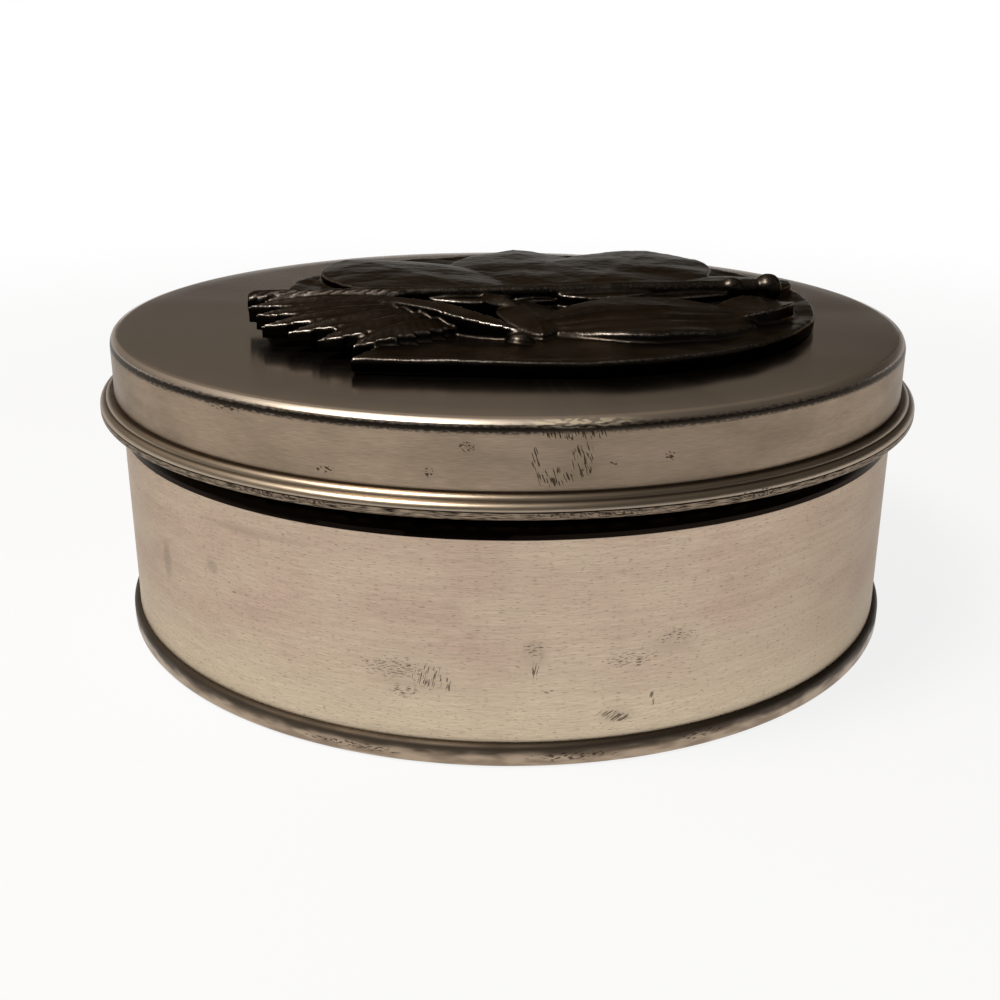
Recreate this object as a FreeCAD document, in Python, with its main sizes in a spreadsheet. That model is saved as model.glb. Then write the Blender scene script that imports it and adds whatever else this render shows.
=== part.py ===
import FreeCAD, Part
import math
import os
import Sketcher

# A round slip-lid tin with a cast leaf medallion on its lid.
# Frame: +Z up, origin at the centre of the base, on the surface the tin stands on; the tin is shut.
# All sizes in millimetres. Each one stands once in this table and goes into the sheet under its name.

TIN_SIZES = {
    "wall_radius": 61.8,       # outside of the body wall
    "wall_height": 31.1,       # where the wall turns in to the groove under the lid
    "groove_depth": 1.3,       # how far the groove goes in
    "groove_slope": 2.2,       # height of each sloping side of the groove
    "groove_floor": 0.9,       # height of the straight floor of the groove
    "groove_bow": 4.2,         # radius of the groove's rounded lower side
    "base_rim_height": 3.2,    # the seamed ring round the foot
    "base_rim_reach": 1.0,     # how far that ring stands out of the wall
    "base_rim_top": 0.9,       # radius of the ring's upper shoulder
    "base_rim_foot": 0.8,      # radius of the ring's outer foot
    "base_rim_width": 2.4,     # thickness of the ring where it stands
    "base_inner_round": 0.5,   # radius of the ring's inner foot
    "base_recess": 2.2,        # how far the bottom panel lies above the standing surface
    "base_panel": 0.7,         # thickness of the bottom panel
    "base_bead_inset": 11.8,   # from the wall in to the expansion bead pressed round the bottom panel
    "base_bead_width": 1.6,
    "base_bead_depth": 0.35,
    "seam_gap": 0.05,          # between the body wall and the ring's collar
    "side_seam_width": 4.4,    # the lapped seam down the back of the wall
    "side_seam_rise": 0.2,
    "side_seam_clear": 0.4,    # from the seam's ends to the ring and to the groove
}

LID_SIZES = {
    "lid_step": 0.9,           # how far the lid's wall stands out of the body's wall
    "lid_lift": 3.7,           # from the top of the body's wall up to the lid's lower edge
    "lid_height": 11.8,        # from there to the lid's flat top
    "lid_sheet": 0.3,          # sheet thickness
    "lid_bend": 1.7,           # outside radius of the bend round the top
    "lid_slack": 0.25,         # slip fit between the body's mouth and the lid's wall
    "curl_height": 2.85,       # height of the curl round the lid's lower edge
    "curl_reach": 2.2,         # how far it stands out of the lid's wall
    "curl_crown": 2.0,         # radius of its rounded upper side
    "curl_hem": 0.9,           # height of its upright lower strand
    "curl_foot": 0.45,         # radius of its outer foot
    "curl_inner": 0.5,         # radius of its inner foot
    "crease_depth": 0.14,      # the crease between the two strands
    "crease_height": 0.16,
}

# The medallion: one casting, a round plaque under overlapping leaves, with a stem that ends in a berry.
# Its angles are in degrees about the plaque's centre, from +X towards +Y. What ends near the plaque's edge
# is placed by its angle and by how far inside that edge it lies, or outside it where the number is negative.
MEDALLION_SIZES = {
    "plaque_x": 5.0,           # the plaque's centre from the tin's axis
    "plaque_radius": 44.0,
    "plaque_thick": 2.3,
    "spur_angle": -121.0,      # the pointed end of the plaque's straight front edge
    "spur_inset": -5.6,
    "notch_angle": -122.5,     # the inner corner of the notch beside it
    "notch_inset": 4.9,
    "notch_end_angle": 163.0,  # the two corners where the round edge is cut off straight, at the left
    "hollow_depth": 1.5,       # the sunk field between the stem and the ribbon
    "stem_left_angle": -164.0,
    "stem_left_inset": -2.0,
    "stem_right_angle": -1.5,
    "stem_right_inset": 7.0,
    "stem_radius": 1.5,
    "stem_height": 1.9,        # of its axis over the plaque
    "berry_radius": 2.3,
    "bud_radius": 1.9,
    "bud_step": 6.0,           # from the berry to the bud, along the stem
    "knot_radius": 2.0,
    "leaf_crown": 0.9,         # how far a leaf's middle stands above its long edges
    "leaf_arch": 1.1,          # how far its middle stands above its root and tip
    "step_rise": 0.38,         # height of one step of the stepped leaf
    "step_shift": 2.9,         # how far each step's front edge lies behind the last
}

# Leaves: root x and y from the plaque's centre, angle and inset of the tip, how far the left and the right
# edge bow out of the line from root to tip, and height over the plaque.
LEAVES = {
    "back_left": (-6.0, -10.0, 143.0, 0.0, 13.0, 12.0, 2.6),
    "back_middle": (-1.0, -9.0, 95.5, 1.8, 13.0, 13.0, 2.2),
    "back_right": (4.0, -8.0, 60.5, 0.4, 13.0, 17.0, 2.9),
    "side_right": (14.0, -5.0, 12.0, 0.3, 9.0, 6.0, 2.3),
    "shell": (0.5, -25.0, -32.5, 6.7, 11.0, 9.5, 1.4),
    "petal_right": (26.5, -21.5, -9.0, 5.0, 4.0, 5.0, 2.3),
    "tongue": (-4.0, -7.0, -90.0, 14.0, 5.5, 4.5, 1.5),
    "ribbon": (-30.0, -10.0, -95.5, 12.5, 3.2, 2.6, 2.6),
    "frond_1": (-16.0, -14.0, -160.0, -3.0, 3.4, 3.6, 3.2),
    "frond_2": (-15.5, -15.5, -153.5, -3.4, 4.0, 4.0, 3.0),
    "frond_3": (-15.0, -17.0, -146.5, -4.0, 4.0, 4.0, 2.8),
    "frond_4": (-14.0, -18.5, -140.0, -3.0, 4.0, 4.0, 2.6),
    "frond_5": (-12.5, -20.0, -132.0, -2.4, 4.2, 4.2, 2.4),
    "frond_6": (-11.0, -21.5, -125.0, -1.2, 4.0, 4.4, 2.1),
}
LEAF_FIELDS = ("root_x", "root_y", "tip_angle", "tip_inset", "bow_left", "bow_right", "rise")
STEPPED_LEAF = "shell"
SHELL_STEPS = 4


class Dim:
    """A size that knows its value and the formula that gives it in the document's sheet."""

    def __init__(self, value, formula):
        self.value = value
        self.formula = formula

    def joined(self, other, sign, value):
        text = other.formula if isinstance(other, Dim) else repr(float(other))
        return Dim(value, "(" + self.formula + sign + text + ")")

    def __add__(self, other):
        return self.joined(other, " + ", self.value + plain(other))

    def __sub__(self, other):
        return self.joined(other, " - ", self.value - plain(other))

    def __mul__(self, other):
        return self.joined(other, " * ", self.value * plain(other))

    def __truediv__(self, other):
        return self.joined(other, " / ", self.value / plain(other))


def plain(size):
    """The number behind a size, or the number itself."""
    return size.value if isinstance(size, Dim) else size


def fill_sheet(doc, tables):
    """Put every size into the sheet and return them by name, each bound to its cell."""
    sheet = doc.addObject("Spreadsheet::Sheet", "dims")
    bound = {}
    row = 1
    for table in tables:
        for name, value in table.items():
            cell = "A" + str(row)
            sheet.set(cell, str(value))
            sheet.setAlias(cell, name)
            bound[name] = Dim(value, "dims." + name)
            row += 1
    doc.recompute()
    return bound


def from_edge(d, angle, inset):
    """Where a point lies that is this far inside the plaque's edge, at this angle about its centre."""
    reach = d["plaque_radius"] - inset
    turned = math.radians(angle.value)
    return (Dim(reach.value * math.cos(turned), "(" + reach.formula + " * cos(" + angle.formula + "))"),
            Dim(reach.value * math.sin(turned), "(" + reach.formula + " * sin(" + angle.formula + "))"))


def origin_plane(body, role):
    for feature in body.Origin.OriginFeatures:
        if feature.Role == role:
            return feature
    raise RuntimeError("no plane " + role)


def new_sketch(body, name, role):
    sketch = body.newObject("Sketcher::SketchObject", name)
    sketch.AttachmentSupport = [(origin_plane(body, role), "")]
    sketch.MapMode = "FlatFace"
    return sketch


def arc_geometry(start, end, radius, bow):
    """The arc of this radius from start to end; bow +1 bulges to the right of travel, -1 to the left.
    Also says whether the arc, which runs anticlockwise, begins at start."""
    chord = end - start
    half = chord.Length / 2.0
    right = FreeCAD.Vector(chord.y, -chord.x, 0).normalize()
    drop = math.sqrt(max(radius * radius - half * half, 0.0))
    centre = (start + end) * 0.5 - right * (drop * bow)
    circle = Part.Circle(centre, FreeCAD.Vector(0, 0, 1), radius)
    forward = bow > 0
    first, last = (start, end) if forward else (end, start)
    angles = [math.atan2(p.y - centre.y, p.x - centre.x) for p in (first, last)]
    if angles[1] < angles[0]:
        angles[1] += 2.0 * math.pi
    return Part.ArcOfCircle(circle, angles[0], angles[1]), forward


def draw_outline(sketch, corners):
    """Close an outline through corners given as (x, y) or (x, y, radius, bow), where the last two turn
    the edge to the next corner into an arc. Every corner and radius is tied to the sheet."""
    points = [FreeCAD.Vector(plain(c[0]), plain(c[1]), 0) for c in corners]
    count = len(corners)
    starts = []
    ends = []
    for i, corner in enumerate(corners):
        start = points[i]
        end = points[(i + 1) % count]
        if len(corner) == 2:
            edge = sketch.addGeometry(Part.LineSegment(start, end), False)
            forward = True
        else:
            arc, forward = arc_geometry(start, end, plain(corner[2]), corner[3])
            edge = sketch.addGeometry(arc, False)
        starts.append((edge, 1 if forward else 2))
        ends.append((edge, 2 if forward else 1))
    for i in range(count):
        sketch.addConstraint(Sketcher.Constraint("Coincident", *ends[i], *starts[(i + 1) % count]))
    for i, corner in enumerate(corners):
        tie(sketch, "DistanceX", starts[i], corner[0])
        tie(sketch, "DistanceY", starts[i], corner[1])
        if len(corner) == 4:
            tie(sketch, "Radius", starts[i][:1], corner[2])


def tie(sketch, kind, place, size):
    """Fix one coordinate or radius at a size, by formula where the size has one."""
    index = sketch.addConstraint(Sketcher.Constraint(kind, *place, plain(size)))
    if isinstance(size, Dim):
        sketch.setExpression("Constraints[" + str(index) + "]", size.formula)


def turned_body(doc, label, corners):
    """A body of revolution about Z from a half section of (radius, height) corners."""
    body = doc.addObject("PartDesign::Body", label)
    body.Label = label
    sketch = new_sketch(body, label + "_section", "XZ_Plane")
    draw_outline(sketch, corners)
    turn = body.newObject("PartDesign::Revolution", label + "_turn")
    turn.Profile = sketch
    turn.ReferenceAxis = (sketch, ["V_Axis"])
    turn.Angle = 360.0
    sketch.Visibility = False
    body.Tip = turn
    return body


def build_bottom_end(doc, d):
    """The seamed-on bottom: a ring round the foot of the wall and a panel set up inside it."""
    inner = d["wall_radius"] + d["seam_gap"]
    outer = d["wall_radius"] + d["base_rim_reach"]
    panel_top = d["base_recess"] + d["base_panel"]
    stand_inner = outer - d["base_rim_width"]
    bead_outer = d["wall_radius"] - d["base_bead_inset"] + d["base_bead_width"] / 2
    bead_inner = bead_outer - d["base_bead_width"]
    bead_top = d["base_recess"] + d["base_bead_depth"]
    corners = [
        (0.0, d["base_recess"]),
        (bead_inner, d["base_recess"]),
        (bead_inner + d["base_bead_depth"], bead_top),
        (bead_outer - d["base_bead_depth"], bead_top),
        (bead_outer, d["base_recess"]),
        (stand_inner, d["base_recess"]),
        (stand_inner, d["base_inner_round"], d["base_inner_round"], 1),
        (stand_inner + d["base_inner_round"], 0.0),
        (outer - d["base_rim_foot"], 0.0, d["base_rim_foot"], 1),
        (outer, d["base_rim_foot"]),
        (outer, d["base_rim_height"] - d["base_rim_top"], d["base_rim_top"], 1),
        (outer - d["base_rim_top"], d["base_rim_height"]),
        (inner, d["base_rim_height"]),
        (inner, panel_top),
        (0.0, panel_top),
    ]
    return turned_body(doc, "bottom_end", corners)


def build_tin_body(doc, d):
    """The wall with its contents: closed inside, grooved under the lid, with a side seam at the back."""
    wall = d["wall_radius"]
    panel_top = d["base_recess"] + d["base_panel"]
    mouth = wall + d["lid_step"] - d["lid_sheet"] - d["lid_slack"]
    mouth_round = inner_bend(d)
    under_lid = lid_top(d) - d["lid_sheet"]
    groove = wall - d["groove_depth"]
    floor_low = d["wall_height"] + d["groove_slope"]
    floor_high = floor_low + d["groove_floor"]
    corners = [
        (0.0, panel_top),
        (wall, panel_top),
        (wall, d["wall_height"], d["groove_bow"], 1),
        (groove, floor_low),
        (groove, floor_high),
        (mouth, floor_high + d["groove_slope"]),
        (mouth, under_lid - mouth_round, mouth_round, 1),
        (mouth - mouth_round, under_lid),
        (0.0, under_lid),
    ]
    body = turned_body(doc, "tin_body", corners)
    seam_low = d["base_rim_height"] + d["side_seam_clear"]
    seam_high = d["wall_height"] - d["side_seam_clear"]
    half = d["side_seam_width"] / 2
    outer = wall + d["side_seam_rise"]
    inner = wall - d["side_seam_rise"]
    rise = seam_edge_height(outer, half)
    drop = seam_edge_height(inner, half)
    sketch = new_sketch(body, "side_seam_outline", "XY_Plane")
    sketch.AttachmentOffset = FreeCAD.Placement(FreeCAD.Vector(0, 0, seam_low.value), FreeCAD.Rotation())
    sketch.setExpression(".AttachmentOffset.Base.z", seam_low.formula)
    draw_outline(sketch, [(half, drop), (half, rise, outer, 1), (half * -1, rise), (half * -1, drop)])
    seam = body.newObject("PartDesign::Pad", "side_seam")
    seam.Profile = sketch
    seam.Length = (seam_high - seam_low).value
    seam.setExpression("Length", (seam_high - seam_low).formula)
    sketch.Visibility = False
    body.Tip = seam
    return body


def seam_edge_height(radius, half):
    """How far from the axis plane a point of a circle lies, half a seam's width off centre."""
    value = math.sqrt(radius.value ** 2 - half.value ** 2)
    return Dim(value, "sqrt(" + radius.formula + "^2 - " + half.formula + "^2)")


def lid_top(d):
    """The height of the lid's flat top."""
    return d["wall_height"] + d["lid_lift"] + d["lid_height"]


def inner_bend(d):
    """The inside radius of the lid's bend, which the body's rounded mouth fits."""
    return d["lid_bend"] - d["lid_sheet"]


def build_lid(doc, d):
    """The lid: flat top, rounded bend, wall, and an outward curl in two strands round its edge."""
    outer = d["wall_radius"] + d["lid_step"]
    inner = outer - d["lid_sheet"]
    top = lid_top(d)
    under = top - d["lid_sheet"]
    bend = inner_bend(d)
    reach = outer + d["curl_reach"]
    low = d["wall_height"] + d["lid_lift"]
    crease = low + d["curl_hem"]
    crease_top = crease + d["crease_height"]
    corners = [
        (0.0, under),
        (inner - bend, under, bend, -1),
        (inner, under - bend),
        (inner, low + d["curl_inner"], d["curl_inner"], -1),
        (inner + d["curl_inner"], low),
        (reach - d["curl_foot"], low, d["curl_foot"], 1),
        (reach, low + d["curl_foot"]),
        (reach, crease),
        (reach - d["crease_depth"], crease + d["crease_height"] / 2),
        (reach, crease_top, d["curl_crown"], 1),
        (outer, low + d["curl_height"]),
        (outer, top - d["lid_bend"], d["lid_bend"], 1),
        (outer - d["lid_bend"], top),
        (0.0, top),
    ]
    # from the axis out under the top, down inside the wall, round the curl and back over the outside
    return turned_body(doc, "lid", corners)


def build_medallion(doc, d, leaves):
    """One casting: the plaque, its sunk field, the leaves, and the stem with its berries."""
    plaque = doc.addObject("PartDesign::Body", "plaque")
    sketch = new_sketch(plaque, "plaque_outline", "XY_Plane")
    radius = d["plaque_radius"]
    end_x, end_y = from_edge(d, d["notch_end_angle"], 0.0)
    draw_outline(sketch, [
        (0.0, radius * -1, radius, 1),
        (radius, 0.0, radius, 1),
        (0.0, radius, radius, 1),
        (end_x, end_y),
        (end_x, end_y * -1),
        from_edge(d, d["notch_angle"], d["notch_inset"]),
        from_edge(d, d["spur_angle"], d["spur_inset"]),
    ])
    pad = plaque.newObject("PartDesign::Pad", "plaque_pad")
    pad.Profile = sketch
    pad.Length = d["plaque_thick"].value
    pad.setExpression("Length", "dims.plaque_thick")
    sketch.Visibility = False
    plaque.Tip = pad
    field = hollow_field(plaque, d)
    plaque.Tip = field
    pieces = [plaque]
    for name, leaf in leaves.items():
        if name == STEPPED_LEAF:
            pieces += stepped_leaf(doc, name, leaf, d)
        else:
            pieces.append(crowned_leaf(doc, name, leaf, d))
    pieces += stem_and_berries(doc, d, leaves)
    casting = doc.addObject("Part::MultiFuse", "medallion")
    casting.Label = "medallion"
    casting.Shapes = pieces
    casting.Refine = True
    casting.setExpression(".Placement.Base.x", "dims.plaque_x")
    casting.setExpression(".Placement.Base.z", lid_top(d).formula)
    return casting


def hollow_field(plaque, d):
    """The sunk three-cornered field between the stem, the ribbon and the tongue."""
    sketch = new_sketch(plaque, "hollow_outline", "XY_Plane")
    sketch.AttachmentOffset = FreeCAD.Placement(FreeCAD.Vector(0, 0, d["plaque_thick"].value),
                                                FreeCAD.Rotation())
    sketch.setExpression(".AttachmentOffset.Base.z", "dims.plaque_thick")
    left = (d["ribbon_root_x"] + 8.0, d["ribbon_root_y"] - 0.5)
    front = (d["tongue_root_x"] - 4.0, d["tongue_root_y"] - 15.0)
    back = (d["tongue_root_x"] - 1.0, d["tongue_root_y"] - 1.0)
    draw_outline(sketch, [left, front, back])
    pocket = plaque.newObject("PartDesign::Pocket", "hollow")
    pocket.Profile = sketch
    pocket.Length = d["hollow_depth"].value
    pocket.setExpression("Length", "dims.hollow_depth")
    sketch.Visibility = False
    return pocket


def crowned_leaf(doc, name, leaf, d):
    """A leaf: a two-arc outline standing on the plaque, under a surface that falls off to every side."""
    prism = leaf_prism(doc, name, leaf, leaf["bow_right"], leaf["rise"], d)
    return crowned(doc, name, leaf, prism, leaf["rise"], d)


def stepped_leaf(doc, name, leaf, d):
    """The broad leaf by the front: steps that rise towards the stem, each set back from the last."""
    steps = []
    for step in range(SHELL_STEPS):
        part_name = name + "_" + str(step + 1)
        rise = leaf["rise"] + d["step_rise"] * step
        bow = leaf["bow_right"] - d["step_shift"] * step
        prism = leaf_prism(doc, part_name, leaf, bow, rise, d)
        steps.append(crowned(doc, part_name, leaf, prism, rise, d))
    return steps


def bow_radius(leaf, bow):
    """The radius of a leaf's edge that bows this far out of the line from root to tip."""
    radius = (chord_squared(leaf) / 4 + bow * bow) / (bow * 2)
    return (radius, 1) if bow.value > 0 else (radius * -1, -1)


def chord_squared(leaf):
    across = leaf["tip"][0] - leaf["root"][0]
    along = leaf["tip"][1] - leaf["root"][1]
    return across * across + along * along


def leaf_prism(doc, name, leaf, bow_right, height, d):
    """The upright prism over a leaf's outline, on the plaque's face."""
    sketch = doc.addObject("Sketcher::SketchObject", name + "_outline")
    sketch.Placement = FreeCAD.Placement(FreeCAD.Vector(0, 0, d["plaque_thick"].value), FreeCAD.Rotation())
    sketch.setExpression(".Placement.Base.z", "dims.plaque_thick")
    draw_outline(sketch, [
        leaf["root"] + bow_radius(leaf, bow_right),
        leaf["tip"] + bow_radius(leaf, leaf["bow_left"]),
    ])
    prism = doc.addObject("Part::Extrusion", name + "_prism")
    prism.Base = sketch
    prism.DirMode = "Custom"
    prism.Dir = FreeCAD.Vector(0, 0, 1)
    prism.Solid = True
    prism.LengthFwd = height.value
    prism.setExpression("LengthFwd", height.formula)
    return prism


def crowned(doc, name, leaf, prism, rise, d):
    """The prism under the outside of a lying ring, whose top touches the leaf's middle at full height."""
    half_width = (leaf["bow_left"] + leaf["bow_right"]) / 2
    drop = d["leaf_crown"]
    arch = d["leaf_arch"]
    cross = (half_width * half_width + drop * drop) / (drop * 2)
    along = (chord_squared(leaf) / 4 + arch * arch) / (arch * 2)
    ring = doc.addObject("Part::Torus", name + "_crown")
    ring.Radius1 = along.value
    ring.Radius2 = cross.value
    ring.setExpression("Radius1", along.formula)
    ring.setExpression("Radius2", cross.formula)
    root = FreeCAD.Vector(leaf["root"][0].value, leaf["root"][1].value, 0)
    tip = FreeCAD.Vector(leaf["tip"][0].value, leaf["tip"][1].value, 0)
    direction = (tip - root).normalize()
    side = FreeCAD.Vector(-direction.y, direction.x, 0)
    middle = (root + tip) * 0.5 + side * ((leaf["bow_left"] - leaf["bow_right"]).value / 2.0)
    top = (d["plaque_thick"] + rise).value
    centre = FreeCAD.Vector(middle.x, middle.y, top - along.value - cross.value)
    ring.Placement = FreeCAD.Placement(centre, FreeCAD.Rotation(direction, FreeCAD.Vector(0, 0, 1), side))
    shaped = doc.addObject("Part::Common", name)
    shaped.Base = prism
    shaped.Tool = ring
    return shaped


def stem_and_berries(doc, d, leaves):
    """The straight round stem, the berry and the bud at its end, and the knot by the ribbon's tip."""
    height = d["plaque_thick"] + d["stem_height"]
    left_place = from_edge(d, d["stem_left_angle"], d["stem_left_inset"]) + (height,)
    right_place = from_edge(d, d["stem_right_angle"], d["stem_right_inset"]) + (height,)
    left = FreeCAD.Vector(*[size.value for size in left_place])
    right = FreeCAD.Vector(*[size.value for size in right_place])
    direction = (right - left).normalize()
    stem = doc.addObject("Part::Cylinder", "stem")
    stem.Radius = d["stem_radius"].value
    stem.setExpression("Radius", "dims.stem_radius")
    stem.Height = (right - left).Length
    stem.Placement = FreeCAD.Placement(left, FreeCAD.Rotation(FreeCAD.Vector(0, 0, 1), direction))
    bud_place = [size - d["bud_step"] * step for size, step in zip(right_place, direction)]
    balls = [
        ("berry", "berry_radius", right_place),
        ("bud", "bud_radius", bud_place),
        ("knot", "knot_radius", leaves["ribbon"]["tip"] + (d["plaque_thick"],)),
    ]
    made = [stem]
    for name, size, place in balls:
        ball = doc.addObject("Part::Sphere", name)
        ball.Radius = d[size].value
        ball.setExpression("Radius", "dims." + size)
        for axis, distance in zip("xyz", place):
            ball.setExpression(".Placement.Base." + axis, distance.formula)
        made.append(ball)
    return made


def leaf_sizes():
    """Every leaf's sizes under names of their own, such as frond_1_tip_angle."""
    table = {}
    for name, values in LEAVES.items():
        for field, value in zip(LEAF_FIELDS, values):
            table[name + "_" + field] = value
    return table


def placed_leaf(d, name):
    """One leaf's sizes by field, with the places of its root and its tip."""
    leaf = {field: d[name + "_" + field] for field in LEAF_FIELDS}
    leaf["root"] = (leaf["root_x"], leaf["root_y"])
    leaf["tip"] = from_edge(d, leaf["tip_angle"], leaf["tip_inset"])
    return leaf


def main():
    doc = FreeCAD.newDocument("decorative_tin")
    d = fill_sheet(doc, [TIN_SIZES, LID_SIZES, MEDALLION_SIZES, leaf_sizes()])
    leaves = {name: placed_leaf(d, name) for name in LEAVES}
    nodes = [build_bottom_end(doc, d), build_tin_body(doc, d), build_lid(doc, d)]
    nodes.append(build_medallion(doc, d, leaves))
    doc.recompute()
    for item in doc.Objects:
        if "Invalid" in item.State or "Error" in item.State:
            raise RuntimeError(item.Label + " did not compute: " + str(item.State))
    os.makedirs("parts", exist_ok=True)
    for node in nodes:
        shape = node.Shape
        if shape.isNull() or not shape.isValid() or len(shape.Solids) != 1:
            raise RuntimeError(node.Label + " is not one valid solid")
        shape.exportStep("parts/" + node.Label + ".step")
        box = shape.BoundBox
        print("%s %.1f mm3, x %.2f..%.2f y %.2f..%.2f z %.2f..%.2f" % (
            node.Label, shape.Volume, box.XMin, box.XMax, box.YMin, box.YMax, box.ZMin, box.ZMax))


main()
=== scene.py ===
import math
import bmesh
import bpy
from mathutils import Matrix, Quaternion, Vector
from mathutils.noise import noise_vector, seed_set


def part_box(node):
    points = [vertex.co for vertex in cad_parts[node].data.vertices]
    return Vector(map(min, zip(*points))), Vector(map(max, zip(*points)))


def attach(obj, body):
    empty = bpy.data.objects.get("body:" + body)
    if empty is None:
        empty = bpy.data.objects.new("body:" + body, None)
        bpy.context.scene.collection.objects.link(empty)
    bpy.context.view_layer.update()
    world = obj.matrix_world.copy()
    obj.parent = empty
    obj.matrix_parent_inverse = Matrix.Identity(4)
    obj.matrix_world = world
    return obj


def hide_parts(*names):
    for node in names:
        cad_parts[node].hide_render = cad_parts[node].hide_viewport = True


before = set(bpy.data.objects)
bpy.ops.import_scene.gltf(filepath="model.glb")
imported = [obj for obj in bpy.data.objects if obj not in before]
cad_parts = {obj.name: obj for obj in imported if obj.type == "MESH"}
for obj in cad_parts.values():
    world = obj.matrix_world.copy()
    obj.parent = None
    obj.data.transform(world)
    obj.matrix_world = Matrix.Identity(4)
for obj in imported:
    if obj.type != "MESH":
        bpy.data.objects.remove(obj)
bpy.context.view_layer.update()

# A shut, brushed slip-lid tin with a blackened cast medallion on its lid. Metres, in the part's own frame:
# +Z up, the origin at the centre of the base, the front towards -Y. The medallion is modelled in
# millimetres about its plaque's centre and scaled once, when it is done.

MM = 0.001
SEGMENTS = 360
LONGEST = 4.0 * MM           # longest straight stretch of a turned section
ARC_STEP = math.radians(9.0)
SHARP_ANGLE = math.radians(11.0)    # folds sharper than this aren't shaded smooth
NEAR = 0.1 * MM              # what still counts as on a surface


def reach(node):
    """The radius of a turned node: the smallest of its four reaches from the axis, so nothing stands out."""
    low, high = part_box(node)
    return min(high.x, high.y, -low.x, -low.y)


# The ring round the foot and the recessed bottom panel
RING_RADIUS = reach("bottom_end")
RING_REACH = 1.0 * MM
RING_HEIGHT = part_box("bottom_end")[1].z
RING_TOP = 0.9 * MM
RING_FOOT = 0.8 * MM
RING_WIDTH = 2.4 * MM
RING_INNER = 0.5 * MM
RECESS = 2.2 * MM
PANEL_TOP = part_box("tin_body")[0].z
BEAD_INSET = 11.8 * MM
BEAD_WIDTH = 1.6 * MM
BEAD_DEPTH = 0.35 * MM
SEAM_GAP = 0.05 * MM

# The body's wall, the groove under the lid and the lapped seam at the back
WALL = RING_RADIUS - RING_REACH
WALL_TOP = 31.1 * MM
GROOVE_DEPTH = 1.3 * MM
GROOVE_SLOPE = 2.2 * MM
GROOVE_FLOOR = 0.9 * MM
GROOVE_BOW = 4.2 * MM        # radius of the arc from the wall into the groove
MOUTH = reach("tin_body")
MOUTH_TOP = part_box("tin_body")[1].z
MOUTH_ROUND = 1.4 * MM
SEAM_HALF = 2.2 * MM
SEAM_RISE = 0.2 * MM
SEAM_CLEAR = 0.4 * MM

# The lid
CURL = reach("lid")
CURL_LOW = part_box("lid")[0].z
LID_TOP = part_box("lid")[1].z
CURL_REACH = 2.2 * MM
CURL_HEIGHT = 2.85 * MM
CURL_ROLL = 1.0 * MM         # the two rolls over the hem
SHOULDER_INSET = 0.8 * MM
SHOULDER_HEIGHT = 2.1 * MM
CURL_HEM = 1.0 * MM
CURL_FOOT = 0.45 * MM
CURL_INNER = 0.5 * MM
CREASE_DEPTH = 0.14 * MM
CREASE_HEIGHT = 0.16 * MM
LID_WALL = CURL - CURL_REACH
LID_SHEET = 0.3 * MM
LID_BEND = 1.7 * MM
UNEVEN = 0.05 * MM           # how far the sheet's soft unevenness goes in
DENT_WAVE = 9.0 * MM         # and about how long its waves are

# The medallion, in millimetres about its plaque's centre, on the lid's top
PLAQUE_RADIUS = 44.0
PLAQUE_THICK = 2.3
PLAQUE_EDGE = 0.35           # rounding of the plaque's edges
LIP = 0.15                   # how far the field lies below the lip round it
FIELD_ROWS = 61
NOTCH_END = 163.0            # angle at which the round edge gives way to the straight left side
NOTCH = (-122.5, 4.9)        # angle and distance inside the round edge
SPUR = (-121.0, -5.6)
HOLLOW = ((-22.0, -10.5), (-8.0, -22.0), (-5.0, -8.0))     # corners of the sunk field
HOLLOW_DEPTH = 1.5
STEM_LEFT = (-164.0, -2.0)
STEM_RIGHT = (-1.5, 7.0)
STEM_RADIUS = 1.5
STEM_TAPER = (0.75, 0.93)    # share of the radius at its left and its right end
STEM_HEIGHT = 1.9
BERRY_RADIUS = 2.3
BUD_RADIUS = 1.9
BUD_STEP = 6.0
KNOT_RADIUS = 2.0
KNOT_FLAT = 0.6              # the knot's height over its width
CROWN = 0.9
ARCH = 1.1
DROOP = 1.9                  # arch of the fronds, whose tips hang over the edge
LEAF_EDGE = 0.12             # least half width of a leaf
LEAF_THICK = 0.3             # and its least thickness
ALONG_STEPS = 72
ACROSS_STEPS = 28

# Leaves: root x and y, angle and inset of the tip, bow of the left and the right edge, rise over the
# plaque, and the style of the surface.
LEAVES = {
    "back_left": (-6.0, -10.0, 143.0, 0.0, 13.0, 12.0, 2.6, "broad"),
    "back_middle": (-1.0, -9.0, 95.5, 1.8, 13.0, 13.0, 2.2, "broad"),
    "back_right": (4.0, -8.0, 60.5, 0.4, 13.0, 17.0, 2.9, "broad"),
    "side_right": (14.0, -5.0, 12.0, 0.3, 9.0, 6.0, 2.3, "broad"),
    "shell": (0.5, -25.0, -32.5, 6.7, 11.0, 9.5, 1.4, "shell"),
    "petal_right": (26.5, -21.5, -9.0, 5.0, 4.0, 5.0, 1.9, "trough"),
    "tongue": (-4.0, -7.0, -90.0, 14.0, 5.5, 4.5, 1.7, "smooth"),
    "scale": (-9.5, -8.0, -101.0, 28.0, 1.6, 1.8, 2.4, "smooth"),
    "ribbon": (-30.0, -10.0, -95.5, 12.5, 1.5, 3.0, 2.6, "trough"),
    "frond_1": (-16.0, -14.0, -160.0, -3.0, 3.4, 3.6, 3.2, "frond"),
    "frond_2": (-15.5, -15.5, -153.5, -3.4, 4.0, 4.0, 3.0, "frond"),
    "frond_3": (-15.0, -17.0, -146.5, -4.0, 4.0, 4.0, 2.8, "frond"),
    "frond_4": (-14.0, -18.5, -140.0, -3.0, 4.0, 4.0, 2.6, "frond"),
    "frond_5": (-12.5, -20.0, -132.0, -2.4, 4.2, 4.2, 2.4, "frond"),
    "frond_6": (-11.0, -21.5, -125.0, -1.2, 4.0, 4.4, 2.1, "frond"),
}
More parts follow.
